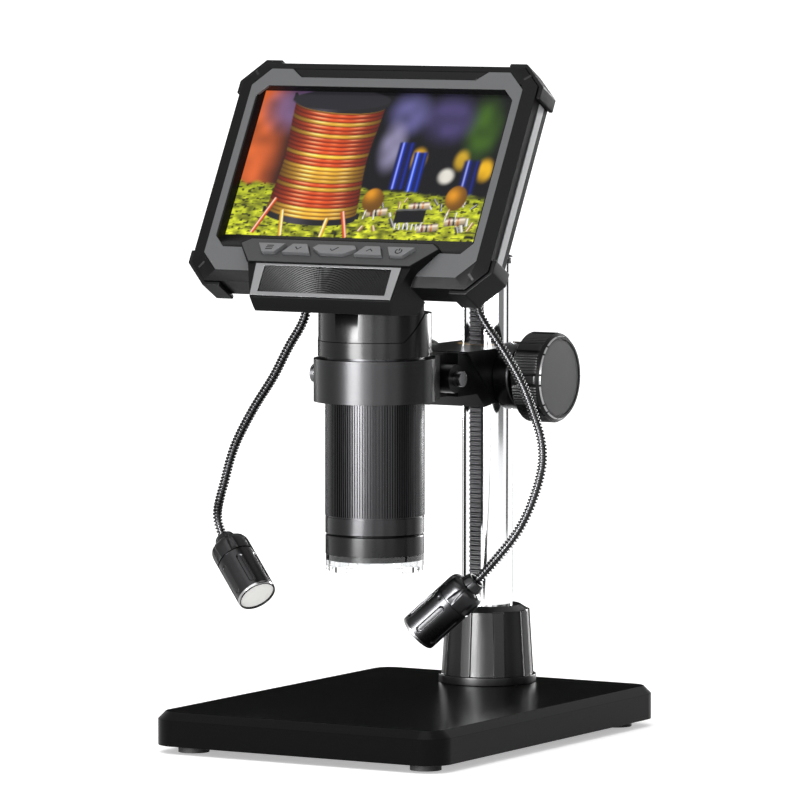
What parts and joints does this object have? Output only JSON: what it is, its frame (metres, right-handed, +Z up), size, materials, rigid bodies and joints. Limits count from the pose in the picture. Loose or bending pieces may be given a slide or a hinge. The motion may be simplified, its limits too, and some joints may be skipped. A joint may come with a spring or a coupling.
{
  "type": "digital microscope",
  "caption": "Desk microscope with a tilting screen on a focusing column, flexible lamp arms and a flat base.",
  "frame": {"origin": "middle of the base's footprint, on the surface that the four feet stand on", "axes": "+Z up, -Y towards the person who looks at the screen, +X to that person's right; the scope's optical axis is vertical"},
  "size_m": [0.1506, 0.175, 0.2629],
  "materials": {
    "base_lacquer": "gloss",
    "foot_rubber": "matte",
    "screw_steel": "satin",
    "gloss_black": "gloss",
    "column_chrome": "gloss",
    "rack_steel": "satin",
    "satin_black": "satin",
    "bush_brass": "satin",
    "black_steel": "satin",
    "knob_black": "satin",
    "knob_grey": "matte",
    "barrel_black": "satin",
    "board_green": "satin",
    "led_white": "gloss",
    "clear_plastic": "gloss",
    "sleeve_black": "satin",
    "lens_glass": "gloss",
    "case_black": "satin",
    "bezel_grey": "satin",
    "screen_glass": "gloss",
    "panel_silver": "satin",
    "battery_wrap": "satin",
    "bumper_black": "gloss",
    "strip_silver": "satin",
    "grille_black": "matte",
    "speaker_black": "matte",
    "button_grey": "satin",
    "arm_black": "satin",
    "lamp_black": "satin"
  },
  "bodies": {
    "stand": {"base_plate": "base_lacquer", "base_feet": "foot_rubber", "base_foot_screws": "screw_steel", "column_socket": "gloss_black", "column_tube": "column_chrome", "column_bolt": "screw_steel", "column_cap": "gloss_black", "rack": "rack_steel", "rack_screws": "screw_steel"},
    "carriage": {"focus_block": "satin_black", "guide_bushes": "bush_brass", "joint_plate": "satin_black", "arm_bracket": "satin_black", "arm_screws": "screw_steel", "arm_clamp_screw": "black_steel", "bearing_collars": "gloss_black"},
    "focus_knobs": {"pinion_shaft": "screw_steel", "knob_left": "knob_black", "knob_right": "knob_black", "knob_caps": "knob_grey"},
    "ring_screw": {"ring_thumbscrew": "black_steel"},
    "scope": {"head_housing": "gloss_black", "barrel_tube": "barrel_black", "nose_ring": "gloss_black", "led_board": "board_green", "ring_leds": "led_white", "clear_shroud": "clear_plastic", "sensor_board": "board_green", "tilt_pin": "screw_steel"},
    "focus_ring": {"focus_sleeve": "sleeve_black"},
    "lens_carrier": {"lens_cell": "barrel_black", "objective_lens": "lens_glass"},
    "display": {"neck_block": "gloss_black", "display_case": "case_black", "rear_cover": "case_black", "case_screws": "screw_steel", "front_bezel": "bezel_grey", "top_insert": "gloss_black", "screen_surround": "gloss_black", "screen_glass": "screen_glass", "lcd_panel": "panel_silver", "main_board": "board_green", "battery_pack": "battery_wrap", "corner_bumpers": "bumper_black", "side_strips": "strip_silver", "button_plate": "bezel_grey", "grille_panel": "grille_black", "grille_frame": "strip_silver", "speaker": "speaker_black"},
    "left_arm": {"lamp_arm_left": "arm_black"},
    "right_arm": {"lamp_arm_right": "arm_black"},
    "left_lamp": {"lamp_left": "lamp_black", "lamp_face_left": "led_white"},
    "right_lamp": {"lamp_right": "lamp_black", "lamp_face_right": "led_white"},
    "menu_key": {"menu_button": "button_grey"},
    "down_key": {"down_button": "button_grey"},
    "enter_key": {"enter_button": "button_grey"},
    "up_key": {"up_button": "button_grey"},
    "power_key": {"power_button": "button_grey"}
  },
  "joints": [
    {"name": "carriage_lift", "type": "slide", "parent": "stand", "child": "carriage", "axis": [0, 0, 1], "range_m": [-0.014, 0.028]},
    {"name": "knob_turn", "type": "hinge", "parent": "carriage", "child": "focus_knobs", "pos_m": [0, 0.0475, 0.139], "axis": [1, 0, 0], "range_deg": [-335, 168]},
    {"name": "ring_screw_turn", "type": "hinge", "parent": "carriage", "child": "ring_screw", "pos_m": [-0.025, -0.0255, 0.143], "axis": [-1, 0, 0], "range_deg": [-180, 0]},
    {"name": "scope_swivel", "type": "hinge", "parent": "carriage", "child": "scope", "pos_m": [0, -0.0255, 0.141], "axis": [0, 0, 1], "range_deg": [-20, 20]},
    {"name": "focus_turn", "type": "hinge", "parent": "scope", "child": "focus_ring", "pos_m": [0, -0.0255, 0.11], "axis": [0, 0, 1], "range_deg": [-150, 150]},
    {"name": "lens_slide", "type": "slide", "parent": "scope", "child": "lens_carrier", "axis": [0, 0, 1], "range_m": [-0.003, 0.003]},
    {"name": "display_tilt", "type": "hinge", "parent": "scope", "child": "display", "pos_m": [0, -0.0215, 0.1635], "axis": [1, 0, 0], "range_deg": [-40, 0]},
    {"name": "menu_press", "type": "slide", "parent": "display", "child": "menu_key", "axis": [0, 0.6088, -0.7934], "range_m": [0, 0.0008], "stiffness_N_per_m": 800},
    {"name": "down_press", "type": "slide", "parent": "display", "child": "down_key", "axis": [0, 0.6088, -0.7934], "range_m": [0, 0.0008], "stiffness_N_per_m": 800},
    {"name": "enter_press", "type": "slide", "parent": "display", "child": "enter_key", "axis": [0, 0.6088, -0.7934], "range_m": [0, 0.0008], "stiffness_N_per_m": 800},
    {"name": "up_press", "type": "slide", "parent": "display", "child": "up_key", "axis": [0, 0.6088, -0.7934], "range_m": [0, 0.0008], "stiffness_N_per_m": 800},
    {"name": "power_press", "type": "slide", "parent": "display", "child": "power_key", "axis": [0, 0.6088, -0.7934], "range_m": [0, 0.0008], "stiffness_N_per_m": 800},
    {"name": "left_arm_swing", "type": "hinge", "parent": "display", "child": "left_arm", "pos_m": [-0.038, -0.02279, 0.2], "axis": [0, 0.8738, -0.4863], "range_deg": [-8, 12]},
    {"name": "left_lamp_tilt", "type": "hinge", "parent": "left_arm", "child": "left_lamp", "pos_m": [-0.0736, -0.01349, 0.0727], "axis": [0.4067, 0.9135, 0], "range_deg": [-12, 12]},
    {"name": "right_arm_swing", "type": "hinge", "parent": "display", "child": "right_arm", "pos_m": [0.038, -0.02279, 0.2], "axis": [0, 0.8738, -0.4863], "range_deg": [-15, 3]},
    {"name": "right_lamp_tilt", "type": "hinge", "parent": "right_arm", "child": "right_lamp", "pos_m": [0.04, -0.02319, 0.0631], "axis": [0.2419, -0.9703, 0], "range_deg": [-12, 12]}
  ],
  "couplings": [
    {"joint": "knob_turn", "follows": "carriage_lift", "rad_per_m": -208.33},
    {"joint": "focus_turn", "follows": "lens_slide", "rad_per_m": 872.6}
  ]
}
